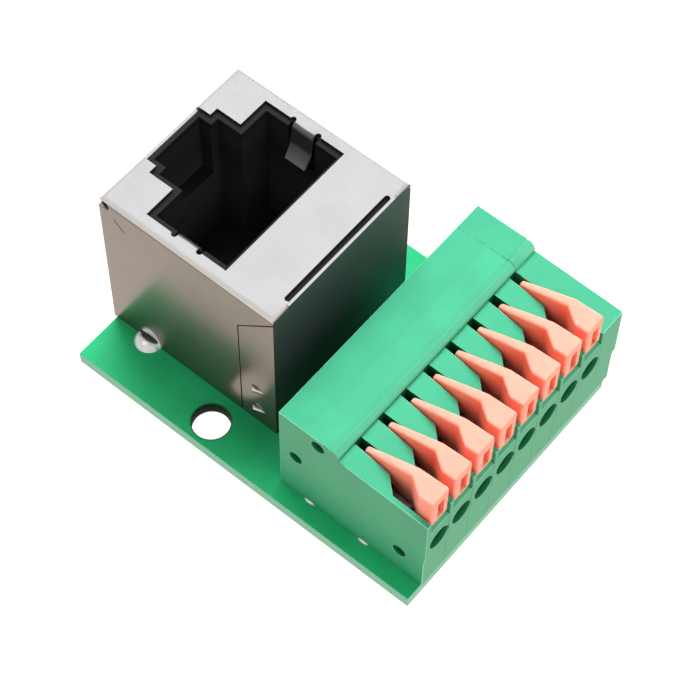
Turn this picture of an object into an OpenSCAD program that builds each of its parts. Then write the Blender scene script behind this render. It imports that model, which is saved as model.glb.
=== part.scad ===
// Breakout board: a top entry network jack wired to an eight pole lever terminal block.
// X runs from the jack to the wire entries, Y along the row of poles, Z up from the solder tips.

/* [Board] */
// Length of the board, from the jack's edge to the terminal edge
board_l = 32; // [31.5:0.1:45]
// Width of the board
board_w = 23.74; // [22.8:0.02:32]
// Thickness of the board
board_t = 1.2; // [0.8:0.1:2.4]
// Diameter of the two mounting holes
mount_hole_d = 3; // [2.2:0.1:3.2]
// Distance from the jack's edge of the board to the mounting holes
mount_hole_x = 11.6; // [6:0.1:14]
// Distance from each long edge of the board to its mounting hole
mount_hole_edge = 1.95; // [1.8:0.05:2.2]
// Length of the leads below the board
lead_l = 1.3; // [0.8:0.1:3]
// Clearance round a lead in its hole
lead_gap = 0.12; // [0.08:0.01:0.2]
// Width of a solder cone beyond its lead, at the board
solder_foot = 0.4; // [0.25:0.05:0.5]

/* [Jack shield] */
// Length of the jack across its plug opening
jack_l = 16.3; // [15.8:0.1:17.5]
// Width of the jack along the row of contacts
jack_w = 15.2; // [14.8:0.1:16.4]
// Height of the jack above the board
jack_h = 16; // [15:0.1:20]
// Overhang of the jack past the board's edge
jack_overhang = 0.25; // [0:0.05:0.6]
// Thickness of the shield's sheet
sheet_t = 0.25; // [0.2:0.05:0.35]
// Outer radius of the folds
bend_r = 0.45; // [0.45:0.05:0.8]
// Margin of the cut in the shield round the plug opening
cut_margin = 0.5; // [0.35:0.05:0.6]
// Length of the slot at the contact side's fold
slot_l = 11.35; // [8:0.05:12.5]
// Width of that slot
slot_w = 0.45; // [0.3:0.05:0.6]
// Width of the spring fingers
finger_w = 1.9; // [1.4:0.1:2.4]
// Length of the spring fingers below their bend
finger_l = 1.8; // [1.4:0.1:2.4]
// Lean of the spring fingers into the plug opening, in degrees
finger_lean = 8; // [5:1:12]
// Length of the spring fingers' bent tips
tip_l = 1.2; // [0.8:0.1:1.6]
// Lean of those tips, in degrees
tip_lean = 32; // [20:1:40]
// Width of the flaps that fold round the corners
flap_w = 3.3; // [2.6:0.1:4]
// Gap along the flaps' seams
seam_w = 0.1; // [0.08:0.02:0.2]
// Length of the slits below the top plate, at the latch side's corners
slit_l = 1; // [0.6:0.05:1.4]
// Height of those slits
slit_h = 0.7; // [0.2:0.05:0.8]
// Width of the hooks lanced out of the flaps
hook_w = 1.2; // [1:0.1:1.8]
// Reach of the hooks out of the side wall
hook_d = 0.3; // [0.2:0.05:0.5]
// Height of the lower hooks above the board
hook_z = 1.7; // [1:0.1:2.5]
// Distance between the lower and the upper hooks
hook_gap = 2.8; // [2:0.1:4]
// Distance from the latch side of the jack to the ground legs
leg_x = 3.55; // [3:0.05:5]
// Width of the ground legs
leg_w = 1.2; // [0.8:0.1:1.6]
// Length of the slots at the ground legs' solder
leg_slot_l = 1.8; // [1.4:0.1:2.2]
// Height of those slots
leg_slot_h = 0.48; // [0.15:0.01:0.55]

/* [Jack housing] */
// Width of the plug opening
plug_w = 11.95; // [11.7:0.05:12.2]
// Depth of the plug opening from its latch side to its contact side
plug_h = 6.6; // [6.4:0.05:7]
// Distance from the latch side of the jack to the plug opening
plug_x = 4.15; // [3.9:0.05:4.6]
// Depth that a plug goes in
plug_depth = 12.7; // [11.5:0.1:13.5]
// Width of the latch channel
latch_w = 6.36; // [6:0.02:6.8]
// Depth of the latch channel
latch_d = 2.25; // [1.9:0.05:2.4]
// Width of the channel for the latch's tab
tab_w = 4.86; // [4.2:0.02:5.2]
// Depth of the channel for the latch's tab
tab_d = 1.15; // [0.8:0.05:1.2]
// Diameter of the housing's locating pegs
peg_d = 2; // [1.4:0.1:2.6]
// Distance between the pegs
peg_span = 10; // [7:0.1:11]
// Clearance between pieces that are pushed together
fit = 0.05; // [0.03:0.01:0.08]

/* [Jack contacts] */
// Pitch of the contacts
contact_pitch = 1.02; // [1:0.01:1.06]
// Side of the square contact wire
wire = 0.4; // [0.3:0.05:0.5]
// Distance between the two rows of contact leads
row_gap = 2.54; // [2:0.02:2.6]
// Inner radius of the contacts' bend
contact_bend_r = 0.4; // [0.3:0.05:0.6]
// Angle that the contacts bend down into the plug opening, in degrees
contact_bend = 80; // [76:1:84]
// Length of the contacts' free ends
contact_free_l = 6.6; // [5:0.1:7]

/* [Terminal block] */
// Distance between poles
pitch = 2.54; // [2.5:0.02:2.8]
// Length of the block from its back to the wire entries
block_l = 13.4; // [13:0.1:14.6]
// Board left in front of the block, negative where the block stands over the edge
front_margin = -0.18; // [-0.4:0.02:0.6]
// Thickness of a slice's side wall
side_wall = 0.44; // [0.4:0.02:0.5]
// Thickness of the front wall
front_wall = 0.8; // [0.6:0.05:1]
// Length of the block's plateau, back to groove
plateau_l = 4.65; // [4.4:0.05:5]
// Length of the shoulder between the groove and the deck
shoulder_l = 0.75; // [0.6:0.05:0.9]
// Height of the plateau above the deck
shoulder_h = 0.83; // [0.75:0.02:1.2]
// Thickness of the deck over the levers' heels
deck_t = 0.6; // [0.4:0.05:0.9]
// Fall of the deck towards the front
deck_fall = 0.25; // [0.1:0.05:0.4]
// Height of the wire entries above the board
entry_h = 5.69; // [5.2:0.01:6.4]
// Diameter of the wire entries
entry_d = 1.8; // [1.4:0.05:1.85]
// Depth and widening of the wire entries' funnels
funnel = 0.12; // [0.06:0.02:0.12]
// Plastic left over the wire entries, up to the sill below a lever's head
sill_t = 1.04; // [0.3:0.01:1.1]
// Inset of the front face's lower part
front_step = 0.1; // [0.05:0.05:0.4]
// Height of the front face's lower part
front_step_h = 3.4; // [3:0.1:4]
// Thickness of the end cover
cover_t = 2.43; // [1.6:0.01:3]
// Inset of the end cover's lower part
cover_step = 0.15; // [0.1:0.05:0.6]
// Height of the end cover's inset part
cover_step_h = 3.8; // [3:0.05:4.5]
// Diameter of the sockets that join the slices
socket_d = 1.15; // [0.9:0.05:1.3]
// Depth of those sockets
socket_depth = 0.6; // [0.4:0.05:0.9]

/* [Levers] */
// Side clearance of a lever
lever_gap = 0.1; // [0.08:0.01:0.15]
// Width of a lever's beam at the head
beam_w = 0.88; // [0.8:0.02:0.94]
// Width of a lever's beam at its tail
tail_w = 0.52; // [0.4:0.02:0.7]
// Radius of a lever's heel, which it turns on
heel_r = 0.6; // [0.5:0.05:0.7]
// Distance from the shoulder to the heel's axis
heel_x = 1.45; // [1.2:0.05:1.6]
// Height of a lever's crest above the deck
crest_h = 2; // [1.6:0.05:2.6]
// Rise of a lever's head from its crest to the front
head_rise = 0.2; // [0:0.05:0.4]
// Length of a lever's head behind the front face
head_l = 2.6; // [2.2:0.05:3]
// Length of the diagonal where the head widens
head_flare = 1.35; // [1:0.05:1.6]
// Drop of the head when it is pressed on to the sill
press_h = 0.5; // [0.5:0.05:1.2]
// Width of the pit in a lever's front face
pit_w = 0.75; // [0.5:0.05:0.9]
// Depth of that pit
pit_depth = 0.5; // [0.3:0.05:0.7]

/* [Clamps] */
// Thickness of the contact bars
bar_t = 0.3; // [0.2:0.05:0.4]
// Width of the contact bars and of the clamp springs
bar_w = 1.3; // [1:0.05:1.4]
// Largest wire that a clamp takes
wire_d = 1; // [0.8:0.05:1.2]
// Thickness of the clamp springs
spring_t = 0.2; // [0.15:0.01:0.25]
// Inner radius of the clamp springs' loop
loop_r = 0.2; // [0.15:0.01:0.25]
// Width of the solder pins
pin_w = 0.6; // [0.5:0.05:0.7]
// Distance from the back of the block to the first pin row
pin_x = 2.77; // [2.7:0.01:3]
// Distance between the pin rows
pin_gap = 5.08; // [4.9:0.02:5.2]

/* [Hidden] */
$fn = 64;
ways = 8;
eps = 0.01;

// Places on the board, from its corner at the jack, with Z up from its top face
mid_y = board_w / 2;
tip_z = -board_t - lead_l;
jack_x = -jack_overhang;
jack_y = mid_y - jack_w / 2;
block_x = max(board_l - front_margin - block_l, jack_x + jack_l + fit);
bay_w = pitch - side_wall;
pole_in_slice = side_wall + bay_w / 2;
function pole_y(k) = mid_y + (k - (ways + 1) / 2) * pitch;
function slice_y(k) = pole_y(k) - pole_in_slice;
cover_y = slice_y(ways + 1);
block_end_y = cover_y + cover_t;

// The middle of the whole object, which is the origin
mid_x = (jack_x + max(board_l, block_x + block_l)) / 2;
whole_mid_y = max(board_w, block_end_y) / 2;

// Jack: the plug opening, the contact chamber and the contacts
jack_in = sheet_t + fit;
housing_h = jack_h - jack_in;
plug_end_x = plug_x + plug_h;
plug_floor_z = housing_h - plug_depth;
comb_t = 0.6;
chamber_x = plug_end_x + comb_t;
chamber_end_x = jack_l - jack_in - comb_t;
chamber_w = contact_pitch * (ways - 1) + 2 * comb_t + wire;
carrier_h = 12.8;
contact_z = carrier_h - 2 * wire;
contact_bend_x = plug_end_x - wire;
row_b_x = chamber_end_x - fit - wire;
row_a_x = max(row_b_x - row_gap, chamber_x + fit + wire);
finger_x = plug_x + plug_h / 2 - finger_w / 2;
peg_x = plug_x + plug_h / 2;
finger_bend_r = sheet_t + 0.25;
relief_d = 0.45;
lip_drop = 0.04;
lip_over = 0.2;
contact_margin = cut_margin - 0.2;
tab_depth = 6;
comb_slot_w = wire + 0.2;
hook_x = jack_l - (flap_w + hook_w) / 2;
hook_tip = hook_w / 5;
window_l = 0.5 * hook_w;
window_h = 0.28;
mitre_x = slit_l + slit_h / 2;
mitre_l = 0.4 * flap_w;
seam_z = jack_h - bend_r - 2 * seam_w;
hook_heights = [hook_z, hook_z + hook_gap];
function contact_y(k) = mid_y + (k - (ways + 1) / 2) * contact_pitch;
function row_x(k) = k % 2 == 1 ? row_a_x : row_b_x;

// Terminal block: heights are stacked up from the wire entries
funnel_r = entry_d / 2 + funnel;
bar_z = entry_h + wire_d / 2;
spring_z = bar_z + bar_t;
arm_z = spring_z + spring_t + 2 * loop_r;
arm_top = arm_z + spring_t;
heel_room = 0.31;
heel_z = arm_top + heel_room + heel_r;
deck_h = heel_z + heel_r + lever_gap + deck_t;
plateau_h = deck_h + shoulder_h;
sill_h = entry_h + funnel_r + sill_t;
foot_x = plateau_l + shoulder_l;
shoulder_r = min(shoulder_l, shoulder_h) - eps;
groove = 0.16;
funnel_depth = 0.3;
front_slant = 0.8;
chamber_top = arm_top + heel_room - 2 * fit;
pin_room = 0.15;
pin_2_x = pin_x + pin_gap;
wire_stop_x = pin_2_x + pin_w / 2 + pin_room + 0.1;
inside_front = block_l - front_wall;
core_wall = 0.75;
socket_at = [[1.5, entry_h - 0.4], [3.55, plateau_h - 1.02], [block_l - 2.32, front_step_h - 0.66]];

// Levers, measured from the back of the block and from the middle of a pole
lever_w = bay_w - 2 * lever_gap;
lever_side = lever_w / 2;
beam_side = lever_side - beam_w;
tail_side = lever_side - tail_w;
heel_at = foot_x + heel_x;
tip_x = heel_at - heel_r - 0.05;
head_front = block_l - 0.12;
crest_x = head_front - head_l;
crest_z = deck_h + crest_h;
head_top = crest_z + head_rise;
head_low = sill_h + press_h;
head_round = 0.45;
nose_z = arm_top + lever_gap;
nose_l = 1.1;
web_z = heel_z - 0.1;
tip_top = deck_h - 0.08;
pit_y = 0.06;
pit_low = 0.35;
pit_top = 0.7;
land_x = crest_x - 1.95;
land_flare = 1.25;
land_z = heel_z + 0.35;
function beam_edge(x) = tail_side + (beam_side - tail_side) * (x - tip_x) / (crest_x - tip_x);
function land_side(x) = pole_in_slice + beam_edge(x) - lever_gap;
ledge_w = 0.25;
ledge_h = 0.5;

// Solder domes on the board, against the shield
dome_foot_r = 1.15;
dome_h = 0.42;
dome_r = (pow(dome_foot_r, 2) + pow(dome_h, 2)) / (2 * dome_h);
dome_sink = dome_r - dome_h;
leg_slot_z = dome_h - 0.1;

// Clamps
loop_x = pin_x + pin_w;
spring_leg_l = 5.9;
tail_x = inside_front - 1.9;
neck_w = 0.8;
neck_x = tail_x - 0.55;
bar_front = tail_x + 0.6;
window_w = neck_w + 0.3;
catch_h = 0.55;

module along_y(from, length)
    translate([0, from + length, 0])
        rotate([90, 0, 0])
            linear_extrude(length)
                children();

module along_x(from, length)
    translate([from, 0, 0])
        rotate([90, 0, 90])
            linear_extrude(length)
                children();

module placed()
    translate([-mid_x, -whole_mid_y, -tip_z])
        children();

module in_jack()
    translate([jack_x, 0, 0])
        children();

module in_slice(k)
    translate([block_x, slice_y(k), 0])
        children();

module at_pole(k)
    translate([block_x, pole_y(k), 0])
        children();

// One of a pair of like features on the two long sides of the jack
module both_sides() {
    children();
    translate([0, 2 * mid_y, 0])
        mirror([0, 1, 0])
            children();
}

// An upright outline with two rounded upper corners
module arch(w, h, r) {
    square([w, h - r]);
    translate([r, h - r])
        circle(r);
    translate([w - r, h - r])
        circle(r);
    translate([r, h - r])
        square([w - 2 * r, r]);
}

// A ring's sector, from a first angle to a second, under half a turn apart
module ring_sector(inner, outer, from, to) {
    reach = 4 * outer;
    intersection() {
        difference() {
            circle(outer);
            circle(inner);
        }
        polygon([
            [0, 0],
            reach * [cos(from), sin(from)],
            reach * [cos((from + to) / 2), sin((from + to) / 2)],
            reach * [cos(to), sin(to)]
        ]);
    }
}

module lead_hole(x, y, d)
    translate([x, y, -board_t - eps])
        cylinder(d = d, h = board_t + 2 * eps);

module solder_cone(size)
    translate([0, 0, tip_z])
        cylinder(r1 = size / 2 + 0.1, r2 = size / 2 + solder_foot, h = lead_l);

// Board

module pcb()
    color("mediumseagreen")
        placed()
            difference() {
                translate([0, 0, -board_t])
                    cube([board_l, board_w, board_t]);
                both_sides()
                    lead_hole(mount_hole_x, mount_hole_edge, mount_hole_d);
                both_sides()
                    in_jack()
                        lead_hole(leg_x, jack_y + sheet_t / 2, leg_w + 2 * lead_gap);
                both_sides()
                    in_jack()
                        lead_hole(peg_x, mid_y - peg_span / 2, peg_d + 2 * fit);
                for (k = [1 : ways])
                    in_jack()
                        lead_hole(row_x(k), contact_y(k), wire * sqrt(2) + 2 * lead_gap);
                for (k = [1 : ways], x = [pin_x, pin_2_x])
                    at_pole(k)
                        lead_hole(x, 0, pin_w * sqrt(2) + lead_gap);
            }

// Jack

module shield_box(inset) {
    intersection() {
        along_y(jack_y + inset, jack_w - 2 * inset)
            translate([inset, 0])
                arch(jack_l - 2 * inset, jack_h - inset, bend_r - inset);
        along_x(inset, jack_l - 2 * inset)
            translate([jack_y + inset, 0])
                arch(jack_w - 2 * inset, jack_h - inset, bend_r - inset);
    }
}

// The stepped plug opening in plan, with a margin round it and another on the contact side
module plug_outline(margin, contact_margin) {
    translate([plug_x - margin, mid_y - plug_w / 2 - margin])
        square([plug_h + margin + contact_margin, plug_w + 2 * margin]);
    translate([plug_x - latch_d - margin, mid_y - latch_w / 2 - margin])
        square([latch_d + margin, latch_w + 2 * margin]);
}

// The seam of a flap that folds round a contact side corner: a mitre, then an upright edge
module flap_seam(width) {
    translate([width, -eps])
        square([seam_w, seam_z - width + eps]);
    translate([width, seam_z - width])
        rotate(-45)
            translate([-width * sqrt(2) - seam_w, 0])
                square([width * sqrt(2) + 2 * seam_w, seam_w]);
}

// The seam at a latch side corner: a mitre that runs down past the end of the slit
module mitre_seam()
    translate([mitre_x, jack_h - sheet_t - mitre_x])
        rotate(-45)
            square([mitre_l, seam_w]);

// A slit below the top plate with a round end, in side view
module corner_slit() {
    low = jack_h - sheet_t - slit_h;
    translate([-eps, low])
        square([slit_l - slit_h / 2 + eps, slit_h]);
    translate([slit_l - slit_h / 2, low + slit_h / 2])
        circle(d = slit_h);
}

// The slot in a side wall at the solder of its leg, in side view
module leg_slot()
    translate([leg_x - leg_slot_l / 2, leg_slot_z])
        square([leg_slot_l, leg_slot_h]);

// The free upper edge of the contact side's wall, beside the slot at its fold
module wall_lip()
    translate([jack_l - sheet_t, mid_y - slot_l / 2 - lip_over, jack_h - bend_r])
        cube([sheet_t, slot_l + 2 * lip_over, bend_r - lip_drop]);

// The window that a lanced hook leaves, in side view
module hook_window(z)
    translate([hook_x, z + sheet_t])
        square([window_l, window_h]);

// A lanced hook: a three cornered shelf below its window
module hook(z)
    translate([hook_x, jack_y, z])
        linear_extrude(sheet_t)
            polygon([[0, 0], [hook_tip, -hook_d], [hook_w, 0], [hook_w, sheet_t], [0, sheet_t]]);

// A spring finger below its bend, in side view: a straight stretch, then a tip turned inwards
module finger_path(turn) {
    tip = [tip_l * sin(turn), -finger_l - tip_l * cos(turn)];
    polygon([
        [0, 0],
        [sheet_t, 0],
        [sheet_t, sheet_t * tan(turn / 2) - finger_l],
        tip + sheet_t * [cos(turn), sin(turn)],
        tip,
        [0, -finger_l]
    ]);
}

module finger() {
    edge = mid_y - plug_w / 2 - cut_margin;
    along_x(finger_x, finger_w)
        translate([edge, jack_h - finger_bend_r]) {
            translate([-eps, finger_bend_r - sheet_t])
                square([eps, sheet_t]);
            ring_sector(finger_bend_r - sheet_t, finger_bend_r, finger_lean, 90);
            rotate(finger_lean)
                translate([finger_bend_r - sheet_t, 0])
                    finger_path(tip_lean - finger_lean);
        }
}

module jack_shield()
    color("silver")
        placed()
            in_jack() {
                difference() {
                    shield_box(0);
                    shield_box(sheet_t);
                    translate([0, 0, jack_h - sheet_t - eps])
                        linear_extrude(sheet_t + 2 * eps)
                            plug_outline(cut_margin, contact_margin);
                    // The tab's channel runs out through the fold on the latch side
                    translate([-eps, mid_y - tab_w / 2 - cut_margin, jack_h - bend_r])
                        cube([plug_x, tab_w + 2 * cut_margin, bend_r + eps]);
                    // The slot at the fold on the contact side
                    fold_slot();
                    // Reliefs beside each spring finger
                    both_sides()
                        for (x = [finger_x - relief_d / 2, finger_x + finger_w + relief_d / 2])
                            translate([x, mid_y - plug_w / 2 - cut_margin, jack_h - sheet_t - eps])
                                cylinder(d = relief_d, h = sheet_t + 2 * eps);
                    // Seams in the side walls, where a flap lies in a pressed step
                    both_sides()
                        along_y(jack_y - eps, sheet_t / 2 + eps) {
                            translate([jack_l, 0])
                                mirror([1, 0])
                                    flap_seam(flap_w);
                            mitre_seam();
                        }
                    // Slits and windows through the side walls
                    both_sides()
                        along_y(jack_y - eps, sheet_t + 2 * eps) {
                            corner_slit();
                            for (z = hook_heights)
                                hook_window(z);
                            leg_slot();
                        }
                }
                wall_lip();
                both_sides()
                    for (z = hook_heights)
                        hook(z);
                both_sides()
                    finger();
                both_sides()
                    translate([leg_x - leg_w / 2, jack_y, tip_z])
                        cube([leg_w, sheet_t, -tip_z]);
            }

module fold_slot()
    translate([jack_l - sheet_t - slot_w / 2 + eps, 0, jack_h - bend_r]) {
        for (side = [-1, 1])
            translate([0, mid_y + side * (slot_l - slot_w) / 2, 0])
                cylinder(d = slot_w, h = bend_r + eps);
        translate([-slot_w / 2, mid_y - (slot_l - slot_w) / 2, 0])
            cube([slot_w, slot_l - slot_w, bend_r + eps]);
    }

module jack_housing()
    color("#1c1f21")
        placed()
            in_jack()
                difference() {
                    union() {
                        shield_box(jack_in);
                        both_sides()
                            translate([peg_x, mid_y - peg_span / 2, -board_t])
                                cylinder(d = peg_d, h = board_t + eps);
                    }
                    translate([0, 0, plug_floor_z])
                        linear_extrude(plug_depth + eps)
                            plug_outline(0, 0);
                    translate([plug_x - latch_d - tab_d, mid_y - tab_w / 2, housing_h - tab_depth])
                        cube([tab_d + eps, tab_w, tab_depth + eps]);
                    both_sides()
                        finger_pocket();
                    translate([chamber_x, mid_y - chamber_w / 2, -eps])
                        cube([chamber_end_x - chamber_x, chamber_w, carrier_h + fit + eps]);
                    for (k = [1 : ways])
                        translate([plug_end_x - eps, contact_y(k) - comb_slot_w / 2, plug_floor_z + comb_t])
                            cube([comb_t + 2 * eps, comb_slot_w, carrier_h - plug_floor_z - comb_t]);
                }

// Room in the plug opening's side wall for a spring finger
module finger_pocket() {
    low = jack_h - finger_bend_r - finger_l - tip_l - comb_t;
    translate([finger_x - comb_t / 2, mid_y - plug_w / 2 - cut_margin, low])
        cube([finger_w + comb_t, cut_margin + eps, jack_h - low]);
}

// The path of a contact wire, from its lead in a row to its free end
module contact_path(lead_x) {
    translate([lead_x - wire / 2, tip_z])
        square([wire, contact_z + wire - tip_z]);
    translate([contact_bend_x - eps, contact_z])
        square([lead_x - contact_bend_x + eps, wire]);
    translate([contact_bend_x, contact_z - contact_bend_r]) {
        ring_sector(contact_bend_r, contact_bend_r + wire, 90, 90 + contact_bend);
        rotate(contact_bend)
            translate([-contact_free_l, contact_bend_r])
                square([contact_free_l + eps, wire]);
    }
}

module contact_wire(k)
    in_jack()
        along_y(contact_y(k) - wire / 2, wire)
            contact_path(row_x(k));

module jack_contact(k)
    color("gold")
        placed()
            contact_wire(k);

// The contacts are moulded into the carrier
module contact_carrier()
    color("#26292b")
        placed()
            difference() {
                in_jack()
                    translate([chamber_x + fit, mid_y - chamber_w / 2 + fit, 0])
                        cube([chamber_end_x - chamber_x - 2 * fit, chamber_w - 2 * fit, carrier_h]);
                for (k = [1 : ways])
                    contact_wire(k);
            }

// Terminal block

// The side view of the block: plateau, groove, rounded shoulder, falling deck and stepped front
module block_outline()
    difference() {
        polygon([
            [0, 0],
            [block_l - front_step, 0],
            [block_l - front_step, front_step_h],
            [block_l, front_step_h + front_slant],
            [block_l, deck_h - deck_fall],
            [foot_x, deck_h],
            [foot_x, plateau_h],
            [0, plateau_h]
        ]);
        translate([foot_x - shoulder_r, plateau_h - shoulder_r])
            difference() {
                square(2 * shoulder_r);
                circle(shoulder_r);
            }
        translate([plateau_l, plateau_h])
            rotate(45)
                square(groove, center = true);
    }

// The hollow of one pole, in side view
module bay_outline() {
    back = pin_x - pin_w / 2 - pin_room;
    core_x = pin_x + pin_w / 2 + pin_room + core_wall;
    // Chamber of the bar and the spring
    translate([back, bar_z - fit])
        square([inside_front - back, chamber_top - bar_z + fit]);
    // Lever well, open at the top and over the sill
    translate([foot_x, chamber_top - eps])
        square([inside_front - foot_x, plateau_h]);
    translate([inside_front - eps, sill_h])
        square([2 * front_wall, plateau_h]);
    // Wire chamber
    translate([wire_stop_x, entry_h - funnel_r])
        square([inside_front - wire_stop_x, bar_z - entry_h + funnel_r]);
    // Pin slots
    for (x = [pin_x, pin_2_x])
        translate([x - pin_w / 2 - pin_room, -eps])
            square([pin_w + 2 * pin_room, bar_z]);
    // Core between the pins
    translate([core_x, core_wall])
        square([pin_2_x - pin_w / 2 - pin_room - core_wall - core_x, bar_z - 2 * core_wall]);
}

// The deck beside a lever's beam, with a seat for the heel below it and a diagonal front edge
module deck_land()
    difference() {
        translate([0, 0, land_z])
            linear_extrude(plateau_h)
                polygon([
                    [foot_x - eps, side_wall - eps],
                    [land_x + land_flare, side_wall - eps],
                    [land_x, land_side(land_x)],
                    [foot_x - eps, land_side(foot_x)]
                ]);
        translate([heel_at, 0, heel_z])
            rotate([-90, 0, 0])
                cylinder(r = heel_r + lever_gap, h = pitch);
    }

// A ledge on the side wall keeps the heel from dropping on to the spring
module heel_ledge()
    translate([heel_at - heel_r, side_wall - eps, heel_z - heel_r - lever_gap - ledge_h])
        cube([2 * heel_r, ledge_w + eps, ledge_h]);

module wire_entry() {
    translate([inside_front - eps, pole_in_slice, entry_h])
        rotate([0, 90, 0])
            cylinder(d = entry_d, h = front_wall + 2 * eps);
    translate([block_l - funnel_depth, pole_in_slice, entry_h])
        rotate([0, 90, 0])
            cylinder(r1 = entry_d / 2, r2 = funnel_r, h = funnel_depth + eps);
}

module sockets()
    for (at = socket_at)
        translate([at[0], -eps, at[1]])
            rotate([-90, 0, 0])
                cylinder(d = socket_d, h = socket_depth + eps);

module terminal_slice(k)
    color("#5fb98c")
        placed()
            in_slice(k)
                difference() {
                    union() {
                        along_y(0, pitch)
                            block_outline();
                        for (at = socket_at)
                            translate([at[0], pitch - eps, at[1]])
                                rotate([-90, 0, 0])
                                    cylinder(d = socket_d - 4 * fit, h = socket_depth - 2 * fit);
                    }
                    difference() {
                        along_y(side_wall, bay_w + eps)
                            bay_outline();
                        deck_land();
                        heel_ledge();
                    }
                    wire_entry();
                    sockets();
                }

module end_cover()
    color("#5fb98c")
        placed()
            translate([block_x, cover_y, 0])
                difference() {
                    along_y(0, cover_t)
                        block_outline();
                    translate([-eps, cover_t - cover_step, -eps])
                        cube([block_l + 2 * eps, cover_step + eps, cover_step_h]);
                    sockets();
                }

// Levers

// The side view of a lever: beam, crest, head with a rounded lower front, nose over the spring
module lever_profile() {
    polygon([
        [tip_x, heel_z],
        [tip_x, tip_top],
        [crest_x, crest_z],
        [head_front, head_top],
        [head_front, head_low + head_round],
        [head_front - head_round, head_low],
        [crest_x, head_low],
        [crest_x, nose_z],
        [crest_x - nose_l, nose_z],
        [crest_x - 2 * nose_l, web_z],
        [heel_at, web_z]
    ]);
    translate([head_front - head_round, head_low + head_round])
        circle(head_round);
}

// The plan of a lever: a narrow tail that widens into the beam and then into the head
module lever_plan()
    polygon([
        [tip_x, tail_side],
        [crest_x, beam_side],
        [crest_x + head_flare, -lever_side],
        [head_front, -lever_side],
        [head_front, lever_side],
        [tip_x, lever_side]
    ]);

module lever(k)
    color("#f58d6b")
        placed()
            at_pole(k)
                difference() {
                    union() {
                        intersection() {
                            along_y(-lever_side, lever_w)
                                lever_profile();
                            linear_extrude(head_top + 1)
                                lever_plan();
                        }
                        translate([heel_at, -lever_side, heel_z])
                            rotate([-90, 0, 0])
                                cylinder(r = heel_r, h = lever_w);
                    }
                    translate([head_front - pit_depth, pit_y - pit_w / 2, head_low + pit_low])
                        cube([pit_depth + eps, pit_w, head_top - pit_top - head_low - pit_low]);
                }

// Clamps

// The side view of a clamp spring: leg on the bar, loop, arm below the lever's nose, tail
module spring_path() {
    translate([loop_x, spring_z])
        square([spring_leg_l, spring_t]);
    translate([loop_x, spring_z + spring_t + loop_r])
        ring_sector(loop_r, loop_r + spring_t, 90, 180);
    translate([loop_x, spring_z + spring_t + loop_r])
        ring_sector(loop_r, loop_r + spring_t, 180, 270);
    translate([loop_x, arm_z])
        square([tail_x + spring_t - loop_x, spring_t]);
    translate([tail_x, bar_z - fit - catch_h])
        square([spring_t, arm_top - bar_z + fit + catch_h]);
}

module clamp_spring(k)
    color("lightsteelblue")
        placed()
            at_pole(k)
                difference() {
                    along_y(-bar_w / 2, bar_w)
                        spring_path();
                    translate([tail_x - eps, -window_w / 2, bar_z - fit])
                        cube([spring_t + 2 * eps, window_w, arm_z - spring_t - bar_z + fit]);
                }

module pin(x)
    translate([x - pin_w / 2, -pin_w / 2, tip_z])
        cube([pin_w, pin_w, bar_z + bar_t - tip_z]);

module contact_bar(k)
    color("tan")
        placed()
            at_pole(k) {
                translate([pin_x - pin_w / 2, -bar_w / 2, bar_z])
                    cube([neck_x - pin_x + pin_w / 2, bar_w, bar_t]);
                translate([neck_x - eps, -neck_w / 2, bar_z])
                    cube([bar_front - neck_x + eps, neck_w, bar_t]);
                pin(pin_x);
                pin(pin_2_x);
            }

// Solder

module jack_solder()
    color("gainsboro")
        placed()
            for (k = [1 : ways])
                difference() {
                    in_jack()
                        translate([row_x(k), contact_y(k), 0])
                            solder_cone(wire * sqrt(2));
                    contact_wire(k);
                }

module terminal_solder()
    color("gainsboro")
        placed()
            for (k = [1 : ways], x = [pin_x, pin_2_x])
                at_pole(k)
                    difference() {
                        translate([x, 0, 0])
                            solder_cone(pin_w * sqrt(2));
                        pin(x);
                    }

// A dome on the board against the shield's wall, and a cone below
module leg_solder() {
    intersection() {
        translate([leg_x, jack_y, -dome_sink])
            sphere(dome_r);
        translate([leg_x - dome_r, jack_y - 2 * dome_r, 0])
            cube(2 * dome_r);
    }
    difference() {
        translate([leg_x, jack_y + sheet_t / 2, 0])
            solder_cone(leg_w);
        translate([leg_x - leg_w / 2, jack_y, tip_z - eps])
            cube([leg_w, sheet_t, lead_l + 2 * eps]);
    }
}

module shield_solder()
    color("gainsboro")
        placed()
            in_jack()
                both_sides()
                    leg_solder();

pcb();
jack_shield();
jack_housing();
contact_carrier();
for (k = [1 : ways]) jack_contact(k);
for (k = [1 : ways]) terminal_slice(k);
end_cover();
for (k = [1 : ways]) lever(k);
for (k = [1 : ways]) clamp_spring(k);
for (k = [1 : ways]) contact_bar(k);
jack_solder();
shield_solder();
terminal_solder();
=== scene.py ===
import math

import bmesh
import bpy
from bpy.props import FloatProperty, FloatVectorProperty, PointerProperty
from mathutils import Matrix, Vector
from mathutils.bvhtree import BVHTree


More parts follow.
